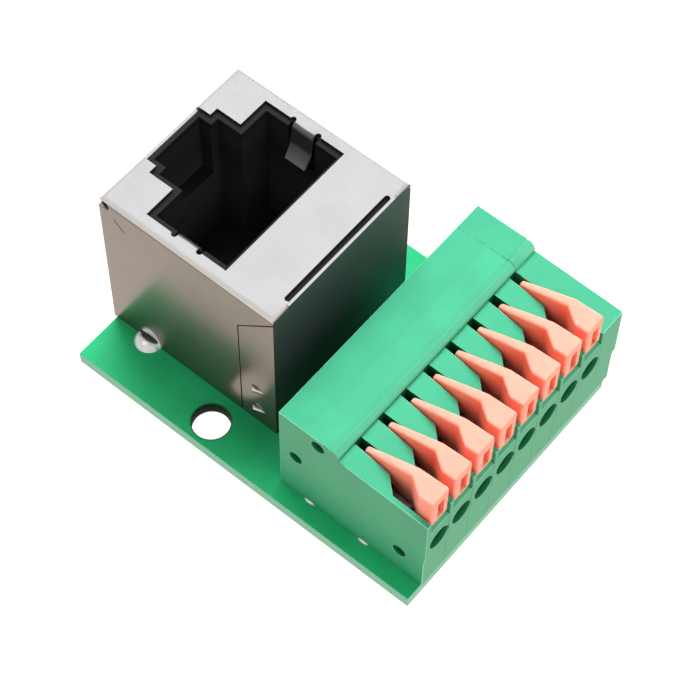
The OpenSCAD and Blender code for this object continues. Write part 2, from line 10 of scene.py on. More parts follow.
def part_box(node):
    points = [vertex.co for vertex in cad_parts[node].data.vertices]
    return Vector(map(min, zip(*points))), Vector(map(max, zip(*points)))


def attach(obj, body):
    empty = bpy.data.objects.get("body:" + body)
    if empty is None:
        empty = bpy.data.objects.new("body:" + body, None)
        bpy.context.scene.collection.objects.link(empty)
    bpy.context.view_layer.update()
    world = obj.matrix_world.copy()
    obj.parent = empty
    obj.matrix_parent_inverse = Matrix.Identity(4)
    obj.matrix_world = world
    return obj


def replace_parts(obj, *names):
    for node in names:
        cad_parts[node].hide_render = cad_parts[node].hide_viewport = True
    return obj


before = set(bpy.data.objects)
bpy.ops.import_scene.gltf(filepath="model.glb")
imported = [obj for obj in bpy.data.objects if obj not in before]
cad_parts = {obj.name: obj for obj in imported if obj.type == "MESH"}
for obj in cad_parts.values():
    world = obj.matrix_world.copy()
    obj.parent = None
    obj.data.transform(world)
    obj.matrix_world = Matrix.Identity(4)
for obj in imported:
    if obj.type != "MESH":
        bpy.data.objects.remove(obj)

bl_info = {
    "name": "Network Breakout Board",
    "version": (1, 0, 0),
    "blender": (4, 5, 0),
    "location": "3D View > Sidebar > Breakout",
    "description": "Finishes a network breakout board around its packed parts and sets its stage",
    "category": "Object",
}

MM = 0.001
ROOT = "board_assembly"
WAYS = range(1, 9)
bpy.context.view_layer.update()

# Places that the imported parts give
BOARD_LOW, BOARD_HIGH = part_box("pcb")
BOARD_MID_Y = (BOARD_LOW.y + BOARD_HIGH.y) / 2
UNDERSIDE = BOARD_LOW.z
TOP = BOARD_HIGH.z
HOUSING_LOW, HOUSING_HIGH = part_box("jack_housing")
HOUSING_TOP = HOUSING_HIGH.z
JACK_MID_Y = (HOUSING_LOW.y + HOUSING_HIGH.y) / 2
SHIELD_LOW, SHIELD_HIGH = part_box("jack_shield")
SHIELD_TOP = SHIELD_HIGH.z
LEG_LOW, LEG_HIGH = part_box("shield_solder")
LEG_X = (LEG_LOW.x + LEG_HIGH.x) / 2
BLOCK_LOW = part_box("terminal_slice_1")[0]
COVER_LOW, COVER_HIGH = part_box("end_cover")
BLOCK_FRONT = COVER_HIGH.x
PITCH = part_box("contact_bar_2")[0].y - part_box("contact_bar_1")[0].y

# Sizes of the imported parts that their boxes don't show
SHEET = 0.25 * MM
SHEET_FIT = 0.05 * MM
SHIELD_HALF = (HOUSING_HIGH.y - HOUSING_LOW.y) / 2 + SHEET_FIT + SHEET
FINGER_ROOT = 6.45 * MM
FINGER_X = SHIELD_LOW.x + 7.45 * MM
FINGER_SIDE = 1.2 * MM
LEG = 1.2 * MM
LEAD = 0.4 * MM
LEAD_ROUND = LEAD * math.sqrt(2)
PIN = 0.6 * MM
PIN_ROUND = PIN * math.sqrt(2)
PIN_GAP = 5.08 * MM
HOLE_X = BOARD_LOW.x + 11.6 * MM
HOLE_OUT = BOARD_HIGH.y - 1.95 * MM - BOARD_MID_Y
HOLE_R = 1.5 * MM
SILL_Z = TOP + 7.75 * MM
GROOVE_X = BLOCK_LOW.x + 4.65 * MM
GROOVE = 0.25 * MM

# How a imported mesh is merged, and how its corners, level faces and outline are known
MERGE = 0.002 * MM
FLAT = math.radians(0.5)
CORNER = math.radians(35)
SMOOTH = math.radians(50)
LEVEL = 0.9
BOARD_RIM = 0.3 * MM

# How far a face of the block looks across a well for a wall, which gives it painted shade, and the
# slopes of a funnel's faces
WELL_START = 0.02 * MM
WELL_LEAST = 0.3 * MM
WELL_MOST = 4 * MM
FUNNEL_LEAST = 0.1
FUNNEL_MOST = 0.9

# The stage, in metres apart from the sensor
FLOOR_Z = -0.01 * MM
KEY_PLACE = Vector((-0.14, 0.16, 0.36))
KEY_SIDE = 0.25
FILL_PLACE = Vector((0.28, -0.02, 0.24))
FILL_SIDE = 0.20
CARD_PLACE = Vector((-0.13, 0.165, 0.36))
CARD_SIDE = 0.36
SENSOR_MM = 36
CLIP_NEAR = 5 * MM
CLIP_FAR = 10


# Properties

def tint(name, description, default):
    return FloatVectorProperty(
        name=name, description=description, default=default,
        subtype="COLOR", size=3, min=0, max=1)


def length(name, description, default):
    return FloatProperty(
        name=name, description=description, default=default,
        min=0, unit="LENGTH", precision=6)


def angle(name, description, degrees):
    return FloatProperty(
        name=name, description=description, default=math.radians(degrees), subtype="ANGLE")


def radiance(name, description, default):
    return FloatProperty(name=name, description=description, default=default, min=0)


class BreakoutColors(bpy.types.PropertyGroup):
    """Colours of the breakout board's finishes."""

    mask: tint("Solder mask", "Lacquer on the board", (0.014, 0.375, 0.128))
    mask_thin: tint("Thin solder mask", "Lacquer where it lies thin", (0.020, 0.45, 0.165))
    laminate: tint("Laminate", "Cut edge of the board", (0.23, 0.50, 0.37))
    # Painted shade: the walls of the mounting holes are made near black.
    drilled: tint("Drilled hole", "Wall of the mounting holes", (0.002, 0.016, 0.009))
    # Painted light and shade: the plate and the wall are paler and darker copies of one nickel, the
    # wall also browner.
    plate: tint("Shield plate", "Faces of the shield that look up", (0.445, 0.445, 0.44))
    wall: tint("Shield wall", "Side walls of the shield", (0.154, 0.126, 0.102))
    wall_shade: tint("Shaded wall", "Wall of the shield that faces the block", (0.055, 0.063, 0.0675))
    # Painted highlight along the folds of the shield.
    fold: tint("Shield folds", "Painted highlight along the shield's folds", (0.80, 0.77, 0.72))
    spring: tint("Shield springs", "Spring fingers in the plug opening", (0.44, 0.45, 0.45))
    housing: tint("Housing", "Plastic of the jack", (0.010, 0.0105, 0.0105))
    gold: tint("Contacts", "Plating of the contacts", (0.83, 0.56, 0.20))
    block: tint("Block", "Plastic of the terminal block", (0.044, 0.335, 0.165))
    # Painted shade for the wells and wire entries of the block.
    block_deep: tint("Block inside", "Painted shade in the wells and wire entries", (0.004, 0.085, 0.026))
    # Painted highlight on the edges of the block.
    block_edge: tint("Block edges", "Painted highlights on the terminal block's edges", (0.22, 0.62, 0.42))
    # Painted light on the shoulder and the sills.
    block_lip: tint("Block lips", "Shoulder of the block and lips at its front", (0.15, 0.68, 0.40))
    lever: tint("Lever", "Plastic of the levers", (0.90, 0.255, 0.175))
    # Painted light on top of the levers.
    lever_top: tint("Lever top", "Painted light on top of the levers", (0.88, 0.34, 0.235))
    steel: tint("Spring steel", "Clamp springs", (0.50, 0.50, 0.49))
    tin: tint("Tin", "Contact bars, and nickel under worn gold", (0.68, 0.67, 0.63))
    solder: tint("Solder", "Solder joints and pads", (0.92, 0.93, 0.92))


class BreakoutSizes(bpy.types.PropertyGroup):
    """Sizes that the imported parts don't have."""

    board_edge: length("Board edge", "Radius of the board's edges", 0.05 * MM)
    sheet_edge: length("Sheet edge", "Radius of the shield's cut edges", 0.03 * MM)
    housing_edge: length("Housing edge", "Radius of the jack housing's edges", 0.07 * MM)
    block_edge: length("Block edge", "Radius of the terminal block's edges", 0.07 * MM)
    lever_edge: length("Lever edge", "Radius of the levers' edges", 0.2 * MM)
    copper: length("Copper", "Thickness of the pads", 0.035 * MM)
    track: length("Track", "Width of the tracks", 0.4 * MM)
    track_rise: length("Track rise", "How far the tracks stand out, less than the pads", 0.02 * MM)
    pad_margin: length("Pad margin", "Rim of a pad round its solder", 0.12 * MM)
    joint_margin: length("Joint margin", "Foot of a solder joint round its lead", 0.38 * MM)
    lead_end: length("Lead end", "Bare end of a lead below its solder", 0.12 * MM)


class BreakoutStage(bpy.types.PropertyGroup):
    """View and light of the breakout board's stage."""

    azimuth: angle("Azimuth", "Turn of the camera from the board's long side", 38.31)
    elevation: angle("Elevation", "Height of the camera above the floor", 59.38)
    roll: angle("Roll", "Turn of the camera about its own axis", 1.27)
    distance: length("Distance", "From the target to the camera", 175.291 * MM)
    target: FloatVectorProperty(
        name="Target", description="Place that the camera looks at",
        default=(-0.329 * MM, 1.277 * MM, 2.5 * MM), size=3, subtype="TRANSLATION")
    lens: FloatProperty(
        name="Lens", description="Focal length in millimetres for a 36 mm sensor",
        default=118.3, min=1, unit="CAMERA")
    floor: length("Floor", "Side of the floor", 2.0)
    ambient: radiance("Ambient", "Radiance of the room", 0.7)
    key: radiance("Key", "Radiance of the softbox behind the jack", 17.0)
    key_tint: tint("Key tint", "Colour of that softbox", (0.82, 0.85, 1.0))
    fill: radiance("Fill", "Radiance of the panel at the wire entries", 2.5)
    card: radiance("Card", "Radiance of the card that the top plate mirrors", 1.05)
    glow: radiance("Glow", "Radiance of the floor's own light", 1.22)
    glow_tint: tint("Glow tint", "Colour of that light", (1.0, 0.91, 0.83))
    paper: tint("Paper", "Floor without its own light", (0.07, 0.07, 0.07))
    paper_fibre: tint("Paper fibres", "Paler fibres of the floor", (0.09, 0.09, 0.09))


# Finishes

class Flow:
    """A socket of a finish. Operators on it add Math nodes."""

    def __init__(self, finish, socket):
        self.finish = finish
        self.socket = socket

    def math(self, operation, *values):
        return self.finish.node("Math", {"operation": operation}, dict(enumerate(values)))

    def __add__(self, other):
        return self.math("ADD", self, other)

    def __sub__(self, other):
        return self.math("SUBTRACT", self, other)

    def __rsub__(self, other):
        return self.math("SUBTRACT", other, self)

    def __mul__(self, other):
        return self.math("MULTIPLY", self, other)

    def __abs__(self):
        return self.math("ABSOLUTE", self)

    __radd__ = __add__
    __rmul__ = __mul__

    def sine(self):
        return self.math("SINE", self)

    def fraction(self):
        return self.math("FRACT", self)

    def ramp(self, low, high):
        """0 below the low value and 1 above the high one, with a soft rise between."""
        return self.finish.node(
            "MapRange", {"interpolation_type": "SMOOTHSTEP"},
            {"Value": self, "From Min": low, "From Max": high})

    def fade(self, low, high):
        """1 below the low value and 0 above the high one, with a soft fall between."""
        return 1 - self.ramp(low, high)


class Finish:
    """A procedural material on Object coordinates."""

    def __init__(self, name):
        self.material = bpy.data.materials.new(name)
        self.material.use_nodes = True
        self.tree = self.material.node_tree
        self.tree.nodes.clear()
        self.place = self.node("TexCoord", output="Object")
        self.facing = self.node("TexCoord", output="Normal")

    def node(self, kind, settings=None, sockets=None, output=0):
        """Adds a node: first its settings, then the values or links of its sockets."""
        made = self.tree.nodes.new("ShaderNode" + kind)
        for key, value in (settings or {}).items():
            setattr(made, key, value)
        for key, value in (sockets or {}).items():
            if isinstance(value, Flow):
                self.tree.links.new(value.socket, made.inputs[key])
            else:
                made.inputs[key].default_value = value
        return Flow(self, made.outputs[output]) if made.outputs else None

    def axis(self, vector, name):
        return self.node("SeparateXYZ", None, {"Vector": vector}, name)

    def axes(self, vector):
        return [self.axis(vector, name) for name in "XYZ"]

    def noise(self, size, detail=2.0, stretch=(1, 1, 1)):
        """Noise from 0 to 1 whose grains have a given size, stretched along the axes."""
        place = self.node(
            "Mapping", None,
            {"Vector": self.place, "Scale": tuple(1 / part for part in stretch)})
        return self.node(
            "TexNoise", None, {"Vector": place, "Scale": 1 / size, "Detail": detail})

    def mixed(self, factor, first, second):
        return self.node(
            "Mix", {"data_type": "RGBA"},
            {0: factor, 6: shade(first), 7: shade(second)}, 2)

    def bump(self, height, depth):
        return self.node("Bump", None, {"Height": height, "Distance": depth})

    def done(self, color, roughness, normal, **others):
        """Ends the finish with its surface. The others are more sockets of it, by name."""
        sockets = {"Base Color": shade(color), "Roughness": roughness, "Normal": normal}
        for key, value in others.items():
            sockets[key.replace("_", " ")] = value
        surface = self.node("BsdfPrincipled", None, sockets)
        self.node("OutputMaterial", None, {"Surface": surface})
        return self.material


def shade(color):
    """A colour for a socket, which also wants its alpha."""
    return color if isinstance(color, Flow) else (*color, 1.0)


def scaled(color, factor):
    return tuple(part * factor for part in color)


def patch(across, up, low, high):
    """1 inside a round patch that fades out between two squares of the distance from its middle."""
    return (across * across + up * up).fade(low, high)


def solder_mask(colors):
    """Glossy lacquer that shows a little of the glass weave below it, with painted shade round the
    holes.
    """
    finish = Finish("solder_mask")
    thread = 0.55 * MM
    ring_start = HOLE_R + 0.04 * MM
    ring_end = HOLE_R + 0.16 * MM
    along = finish.axis(finish.place, "X")
    across = finish.axis(finish.place, "Y")
    weave = (along * (math.tau / thread)).sine() * (across * (math.tau / thread)).sine()
    clouds = finish.noise(size=5 * MM, detail=3)
    smears = finish.noise(size=0.9 * MM, detail=3)
    grain = finish.noise(size=0.12 * MM)
    off_hole = abs(across - BOARD_MID_Y) - HOLE_OUT
    hole_shade = patch(along - HOLE_X, off_hole, ring_start ** 2, ring_end ** 2)
    color = finish.mixed(clouds.ramp(0.35, 0.7), colors.mask, colors.mask_thin)
    color = finish.mixed(0.06 + 0.02 * weave, color, scaled(colors.mask, 0.4))
    # Painted shade: the lacquer darkens round each mounting hole.
    color = finish.mixed(0.75 * hole_shade, color, scaled(colors.mask, 0.25))
    relief = finish.bump(0.12 * weave + 0.4 * grain + clouds, depth=0.006 * MM)
    return finish.done(color, 0.24 + 0.16 * smears, relief, Specular_IOR_Level=0.2)


def masked_copper(colors):
    """Lacquer over a copper track: a paler green."""
    finish = Finish("masked_copper")
    grain = finish.noise(size=0.1 * MM)
    color = finish.mixed(grain, scaled(colors.mask_thin, 1.5), scaled(colors.mask_thin, 1.15))
    relief = finish.bump(grain, depth=0.004 * MM)
    return finish.done(color, 0.2 + 0.15 * grain, relief, IOR=1.52)


def laminate(colors):
    """Sawn glass laminate: fibre layers and a rough cut."""
    finish = Finish("laminate")
    layer = 0.17 * MM
    layers = (finish.axis(finish.place, "Z") * (math.tau / layer)).sine()
    fibres = finish.noise(size=0.05 * MM, detail=3, stretch=(6, 6, 0.6))
    dull = scaled(colors.laminate, 0.88)
    pale = scaled(colors.laminate, 1.1)
    color = finish.mixed(fibres.ramp(0.3, 0.75), dull, pale)
    color = finish.mixed(0.07 + 0.05 * layers, color, colors.mask)
    relief = finish.bump(fibres + 0.3 * layers, depth=0.01 * MM)
    return finish.done(color, 0.6 + 0.25 * fibres, relief)


def drilled_hole_shade(colors):
    """Wall of a mounting hole: near-black painted shade with fibre ends."""
    finish = Finish("drilled_hole_shade")
    fibres = finish.noise(size=0.06 * MM, detail=3, stretch=(1, 1, 3))
    color = finish.mixed(fibres.ramp(0.4, 0.8), colors.drilled, scaled(colors.drilled, 2.2))
    relief = finish.bump(fibres, depth=0.015 * MM)
    return finish.done(color, 0.5 + 0.3 * fibres, relief, Specular_IOR_Level=0.04)


def finger_masks(finish, height):
    """Where the shield's spring fingers are, their tips, which stay out of the painted shade, and the
    bends that they hang from.
    """
    under_plate = (SHIELD_TOP - SHEET, SHIELD_TOP - 0.2 * SHEET)
    tip_span = (SHIELD_TOP - 2.2 * MM, SHIELD_TOP - 1.5 * MM)
    off_finger = abs(finish.axis(finish.place, "X") - FINGER_X)
    from_middle = abs(finish.axis(finish.place, "Y") - JACK_MID_Y)
    at_finger = off_finger.fade(FINGER_SIDE, FINGER_SIDE + SHEET)
    spring = from_middle.fade(FINGER_ROOT, FINGER_ROOT + SHEET) * at_finger
    bend = from_middle.fade(FINGER_ROOT + SHEET, FINGER_ROOT + 2 * SHEET) * at_finger
    return spring * height.fade(*under_plate), height.fade(*tip_span), bend


def leg_masks(finish, height, upward):
    """Where a painted reflection of the solder dome lies on the shield's wall over a leg, and where
    painted shade lies on the leg's ledge.
    """
    dome_reflection_x = LEG_X + 0.2 * MM
    dome_reflection_wide = 1.1 * MM
    dome_reflection_tall = 1.9 * MM
    over_ledge = (TOP + MM, TOP + 1.2 * MM)
    beside = (finish.axis(finish.place, "X") - dome_reflection_x) * (1 / dome_reflection_wide)
    up = (height - TOP) * (1 / dome_reflection_tall)
    # Painted reflection of the solder dome on the wall over the leg.
    dome_reflection = patch(beside, up, 0.5, 1.2) * upward.fade(0.1, 0.3)
    # Painted shade on the faces that look up near the board, in the leg's slot.
    leg_shade = upward.ramp(0.2, 0.5) * height.fade(*over_ledge)
    return dome_reflection, leg_shade


def nickel(colors):
    """Nickel on brass sheet: rolled walls that mirror and a satin top plate. Painted light and shade:
    a paler top and darker, browner walls, highlights along the folds and the hooks' lips, a reflection
    of the solder dome over each leg, and shade on the wall that faces the block, up in the fingers and
    in the legs' slots.
    """
    finish = Finish("nickel")
    fold_span = (SHIELD_TOP - 0.7 * MM, SHIELD_TOP - 0.5 * MM)
    over_hooks = (SHIELD_TOP - 6 * MM, SHIELD_TOP - 5 * MM)
    upward = finish.axis(finish.facing, "Z")
    height = finish.axis(finish.place, "Z")
    spring, unshaded_tip, bend = finger_masks(finish, height)
    dome_reflection, leg_shade = leg_masks(finish, height, upward)
    plate = upward.ramp(0.93, 0.998)
    # Painted highlight on the rounded folds between the plate and the walls.
    fold = upward.ramp(0.22, 0.62) * height.ramp(*fold_span) * (1 - bend)
    # Painted highlight on the lips of the hooks that look up.
    hook_lip_highlight = upward.ramp(0.3, 0.7) * height.fade(*over_hooks)
    to_block = finish.axis(finish.facing, "X").ramp(0.6, 0.95)
    rolled = finish.noise(size=0.035 * MM, stretch=(60, 60, 1))
    handled = finish.noise(size=2.6 * MM, detail=3).ramp(0.42, 0.72)
    waves = finish.noise(size=4.5 * MM, detail=1)
    # Painted shade: each finger is much darker up under the plate and keeps its own colour at its
    # tips.
    finger = finish.mixed(unshaded_tip, scaled(colors.spring, 0.2), colors.spring)
    color = finish.mixed(fold, colors.wall, colors.fold)
    # Painted light and shade: faces that look up get the paler nickel, the walls a darker, browner
    # one.
    color = finish.mixed(plate, color, colors.plate)
    color = finish.mixed(0.12 * rolled, color, scaled(colors.wall, 0.45))
    # Painted shade: the wall that faces the block is darker and greyer.
    color = finish.mixed(to_block, color, colors.wall_shade)
    # Painted reflection of the solder dome, in the solder's colour.
    color = finish.mixed(dome_reflection, color, colors.solder)
    color = finish.mixed(spring, color, finger)
    # Painted highlight on the hooks' lips, in the solder's pale colour.
    color = finish.mixed(hook_lip_highlight, color, colors.solder)
    # Painted shade in the legs' slots, in the housing's black.
    color = finish.mixed(0.9 * leg_shade, color, colors.housing)
    roughness = 0.2 + 0.12 * plate + 0.04 * handled + 0.04 * rolled
    roughness = roughness + 0.25 * spring + 0.25 * to_block
    return finish.done(
        color, roughness, finish.bump(0.12 * rolled + 3 * waves, depth=0.004 * MM),
        Metallic=0.89 - 0.35 * to_block, Coat_Weight=0.5 - 0.5 * to_block, Coat_Roughness=0.5)


def black_plastic(colors):
    """Moulded black plastic with a fine spark grain, paler with painted light below the rim and far
    down in the plug cavity, and darker with painted shade on its ledges.
    """
    finish = Finish("black_plastic")
    rim_span = (HOUSING_TOP - 1.2 * MM, HOUSING_TOP - 0.2 * MM)
    cavity_span = (HOUSING_TOP - 9 * MM, HOUSING_TOP - 3 * MM)
    height = finish.axis(finish.place, "Z")
    grain = finish.noise(size=0.07 * MM)
    flow = finish.noise(size=2 * MM)
    painted_light_below_rim = height.fade(*rim_span)
    painted_light_in_cavity = height.fade(*cavity_span)
    painted_shade_on_ledges = painted_light_below_rim * finish.axis(finish.facing, "Z").ramp(0.5, 0.9)
    color = finish.mixed(grain.ramp(0.35, 0.8), colors.housing, scaled(colors.housing, 1.6))
    # Painted light: paler below the rim and much paler far down in the cavity.
    color = finish.mixed(painted_light_below_rim, color, scaled(colors.housing, 2.0))
    color = finish.mixed(painted_light_in_cavity, color, scaled(colors.housing, 6))
    # Painted shade on the ledges that look up below the rim.
    color = finish.mixed(0.85 * painted_shade_on_ledges, color, scaled(colors.housing, 0.2))
    relief = finish.bump(grain, depth=0.008 * MM)
    return finish.done(color, 0.42 + 0.16 * flow + 0.1 * grain, relief, Specular_IOR_Level=0.13)


def gold_plating(colors):
    """Thin gold over nickel on drawn wire."""
    finish = Finish("gold_plating")
    drawn = finish.noise(size=0.03 * MM, stretch=(12, 1, 12))
    worn = finish.noise(size=0.6 * MM, detail=3).ramp(0.55, 0.8)
    color = finish.mixed(0.35 * worn, colors.gold, colors.tin)
    relief = finish.bump(drawn, depth=0.003 * MM)
    return finish.done(color, 0.16 + 0.14 * drawn, relief, Metallic=1.0)


def block_plastic(colors):
    """Moulded green plastic: faint joints and a cover's seam, with painted light on the shoulder and
    the lips and painted highlights on the edges.
    """
    finish = Finish("block_plastic")
    front_span = (BLOCK_FRONT - 0.5 * MM, BLOCK_FRONT - 0.2 * MM)
    shoulder_end = (GROOVE_X + MM, GROOVE_X + 1.2 * MM)
    shoulder_x = GROOVE_X + 0.4 * MM
    shoulder_side = (0.9 * MM, MM)
    joint_line = (0.015 * MM, 0.07 * MM)
    seam_line = (0.02 * MM, 0.09 * MM)
    sill_side = (0.2 * MM, 0.3 * MM)
    along, across, height = finish.axes(finish.place)
    facing_x, facing_y, facing_z = finish.axes(finish.facing)
    grain = finish.noise(size=0.09 * MM)
    flow = finish.noise(size=3.5 * MM, detail=3)
    front = along.ramp(*front_span)
    poles = (across - BLOCK_LOW.y) * (1 / PITCH)
    off_joint = abs((poles + 0.5).fraction() - 0.5) * PITCH
    joint = off_joint.fade(*joint_line) * front * abs(facing_y).fade(0.3, 0.7)
    seam = abs(across - COVER_LOW.y).fade(*seam_line) * (1 - front)
    shoulder = facing_x.ramp(0.55, 0.95) * along.fade(*shoulder_end)
    off_shoulder = abs(along - shoulder_x).ramp(*shoulder_side)
    sill = facing_z.ramp(0.3, 0.7) * abs(height - SILL_Z).fade(*sill_side)
    squares = [facing * facing for facing in (facing_x, facing_y, facing_z)]
    slanted = (1 - sum(square * square for square in squares)).ramp(0.06, 0.3)
    painted_edge_highlight = slanted * (0.2 + 0.8 * off_shoulder)
    color = finish.mixed(flow.ramp(0.3, 0.75), scaled(colors.block, 0.93), scaled(colors.block, 1.06))
    color = finish.mixed(0.12 * grain, color, scaled(colors.block, 0.6))
    color = finish.mixed(0.45 * joint + 0.5 * seam, color, scaled(colors.block, 0.3))
    # Painted highlight on slanted faces, the rounded edges, weaker on the shoulder.
    color = finish.mixed(painted_edge_highlight, color, colors.block_edge)
    # Painted light on the shoulder behind the levers and on the sills under their heads.
    color = finish.mixed(0.7 * shoulder + 0.9 * sill, color, colors.block_lip)
    relief = finish.bump(0.5 * grain + 0.6 * flow - 1.5 * joint - seam, depth=0.008 * MM)
    return finish.done(color, 0.38 + 0.12 * flow + 0.08 * grain, relief, Specular_IOR_Level=0.25)


def block_painted_shade(colors):
    """Painted shade: the block's plastic darkened in its wells and wire entries, where little light
    comes.
    """
    finish = Finish("block_painted_shade")
    mouth_span = (BLOCK_FRONT - 0.6 * MM, BLOCK_FRONT - 0.1 * MM)
    sill_span = (SILL_Z - 0.55 * MM, SILL_Z - 0.25 * MM)
    socket_span = (BLOCK_LOW.y + 0.1 * MM, BLOCK_LOW.y + 0.5 * MM)
    along, across, height = finish.axes(finish.place)
    grain = finish.noise(size=0.09 * MM)
    mouth = along.ramp(*mouth_span)
    sill = height.ramp(*sill_span)
    socket = across.fade(*socket_span)
    color = finish.mixed(grain, colors.block_deep, scaled(colors.block_deep, 1.5))
    # The painted shade lifts towards the block's own colour at the mouths, over the sill and in the
    # sockets on the end face.
    color = finish.mixed(mouth * (0.12 + 0.88 * sill) + 0.25 * socket, color, colors.block)
    relief = finish.bump(grain, depth=0.008 * MM)
    return finish.done(color, 0.5 + 0.15 * grain, relief, Specular_IOR_Level=0.1)


def lever_plastic(colors):
    """Moulded orange plastic that lets light in, with painted light that makes its tops paler."""
    finish = Finish("lever_plastic")
    grain = finish.noise(size=0.08 * MM)
    flow = finish.noise(size=1.6 * MM, detail=3)
    top_light_paint = finish.axis(finish.facing, "Z").ramp(0.25, 0.9)
    # Painted light: faces that look up are paler.
    color = finish.mixed(top_light_paint, colors.lever, colors.lever_top)
    color = finish.mixed(0.16 * flow, color, scaled(colors.lever, 0.7))
    color = finish.mixed(0.1 * grain, color, colors.lever_top)
    relief = finish.bump(0.6 * grain + flow, depth=0.008 * MM)
    return finish.done(
        color, 0.36 + 0.14 * flow, relief,
        Subsurface_Weight=1.0, Subsurface_Radius=(1.0, 0.3, 0.2), Subsurface_Scale=2.0 * MM)


def spring_steel(colors):
    """Rolled spring steel."""
    finish = Finish("spring_steel")
    rolled = finish.noise(size=0.03 * MM, stretch=(30, 1, 30))
    stain = finish.noise(size=0.8 * MM, detail=3)
    color = finish.mixed(0.5 * stain, colors.steel, scaled(colors.steel, 0.6))
    relief = finish.bump(rolled, depth=0.003 * MM)
    return finish.done(color, 0.2 + 0.18 * rolled, relief, Metallic=1.0)


def tin_plating(colors):
    """Matt tin on stamped copper."""
    finish = Finish("tin_plating")
    crystals = finish.noise(size=0.12 * MM, detail=3)
    color = finish.mixed(crystals.ramp(0.35, 0.75), scaled(colors.tin, 0.8), colors.tin)
    relief = finish.bump(crystals, depth=0.004 * MM)
    return finish.done(color, 0.28 + 0.2 * crystals, relief, Metallic=1.0)


def bright_solder(colors):
    """Reflowed solder: bright, with frosted patches, and painted shade where the domes meet the
    shield's wall by its legs.
    """
    finish = Finish("bright_solder")
    leg_shade_long = 0.85 * MM
    leg_shade_wide = 0.36 * MM
    over_board = (TOP, TOP + 0.1 * MM)
    along, across, height = finish.axes(finish.place)
    frost = finish.noise(size=0.35 * MM, detail=3)
    off_leg = (along - LEG_X) * (1 / leg_shade_long)
    off_wall = (abs(across - JACK_MID_Y) - SHIELD_HALF) * (1 / leg_shade_wide)
    # Painted shade on the dome where it meets the shield's wall.
    leg_shade = patch(off_leg, off_wall, 0.5, 1.1) * height.ramp(*over_board)
    color = finish.mixed(frost.ramp(0.4, 0.8), colors.solder, scaled(colors.solder, 0.85))
    color = finish.mixed(0.93 * leg_shade, color, colors.housing)
    relief = finish.bump(frost, depth=0.012 * MM)
    return finish.done(color, 0.16 + 0.14 * frost, relief, Metallic=0.6)


def floor_paper(stage):
    """Paper with a warm white glow of its own, which the shield mirrors."""
    finish = Finish("floor_paper")
    fibre = finish.noise(size=0.4 * MM, detail=3)
    color = finish.mixed(fibre, stage.paper, stage.paper_fibre)
    return finish.done(
        color, 0.9, finish.bump(fibre, depth=0.005 * MM),
        Emission_Color=shade(stage.glow_tint), Emission_Strength=stage.glow)


def finish_of(maker, context):
    """The material that a maker gives, made once."""
    name = maker.__name__
    if name not in bpy.data.materials:
        maker(context.scene.breakout_colors)
    return bpy.data.materials[name]


# Shapes

def merged_copy(node):
    """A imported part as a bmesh, with its loose triangles merged into flat faces."""
    mesh = bmesh.new()
    mesh.from_mesh(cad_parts[node].data)
    bmesh.ops.remove_doubles(mesh, verts=mesh.verts, dist=MERGE)
    bmesh.ops.dissolve_limit(
        mesh, angle_limit=FLAT, use_dissolve_boundaries=False,
        verts=mesh.verts, edges=mesh.edges, delimit=set())
    return mesh


def round_corners(mesh, radius, wanted=None, segments=2):
    """Rounds the outward corners of a bmesh, or those of them that are wanted."""
    corners = [
        edge for edge in mesh.edges
        if edge.is_convex and edge.calc_face_angle(0) > CORNER and (not wanted or wanted(edge))]
    bmesh.ops.bevel(
        mesh, geom=corners, offset=radius, offset_type="OFFSET", affect="EDGES",
        segments=segments, profile=0.5, material=-1, clamp_overlap=False, loop_slide=True)


def add_turned(mesh, profile, center, start=0.0, turn=math.tau, steps=28):
    """Adds a shape turned about an upright axis, from (radius, height) pairs."""
    direction = Vector((math.cos(start), math.sin(start), 0))
    line = [mesh.verts.new(Vector((center.x, center.y, z)) + r * direction) for r, z in profile]
    edges = [mesh.edges.new(pair) for pair in zip(line, line[1:])]
    bmesh.ops.spin(
        mesh, geom=line + edges, cent=center, axis=(0, 0, 1), angle=turn, steps=steps,
        use_merge=turn == math.tau)


def closed(mesh):
    """Closes a turned bmesh: merges its poles, fills what is open and turns it outwards."""
    bmesh.ops.remove_doubles(mesh, verts=mesh.verts, dist=MERGE)
    bmesh.ops.holes_fill(mesh, edges=[edge for edge in mesh.edges if edge.is_boundary], sides=0)
    bmesh.ops.recalc_face_normals(mesh, faces=mesh.faces)
    return mesh


def move_extruded(mesh, extruded, move):
    """Moves the vertices of what an extrusion made."""
    verts = [part for part in extruded["geom"] if isinstance(part, bmesh.types.BMVert)]
    bmesh.ops.translate(mesh, vec=move, verts=verts)


def quarter(steps):
    """Angles in even steps from 0 to a right angle."""
    return [step / steps * math.pi / 2 for step in range(steps + 1)]


def piece(mesh, name, body, slot, *materials):
    """Ends a bmesh as a piece that rides on a body."""
    for edge in mesh.edges:
        edge.smooth = edge.calc_face_angle(0) < SMOOTH
    for face in mesh.faces:
        face.smooth = True
    data = bpy.data.meshes.new(name)
    mesh.to_mesh(data)
    mesh.free()
    for material in materials:
        data.materials.append(material)
    made = bpy.data.objects.new(name, data)
    bpy.context.scene.collection.objects.link(made)
    even = made.modifiers.new("Even shading", "WEIGHTED_NORMAL")
    even.keep_sharp = True
    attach(made, body)
    return made


def give(node, material):
    """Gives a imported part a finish."""
    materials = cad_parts[node].data.materials
    materials.clear()
    materials.append(material)


def lead_places():
    """Where the jack's contacts pass the board."""
    for k in WAYS:
        low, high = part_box(f"jack_contact_{k}")
        yield Vector((high.x - LEAD / 2, (low.y + high.y) / 2, 0))


def pin_places():
    """Where the terminal block's pins pass the board, two for each pole."""
    for k in WAYS:
        low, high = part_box(f"contact_bar_{k}")
        for x in (low.x + PIN / 2, low.x + PIN / 2 + PIN_GAP):
            yield Vector((x, (low.y + high.y) / 2, 0))


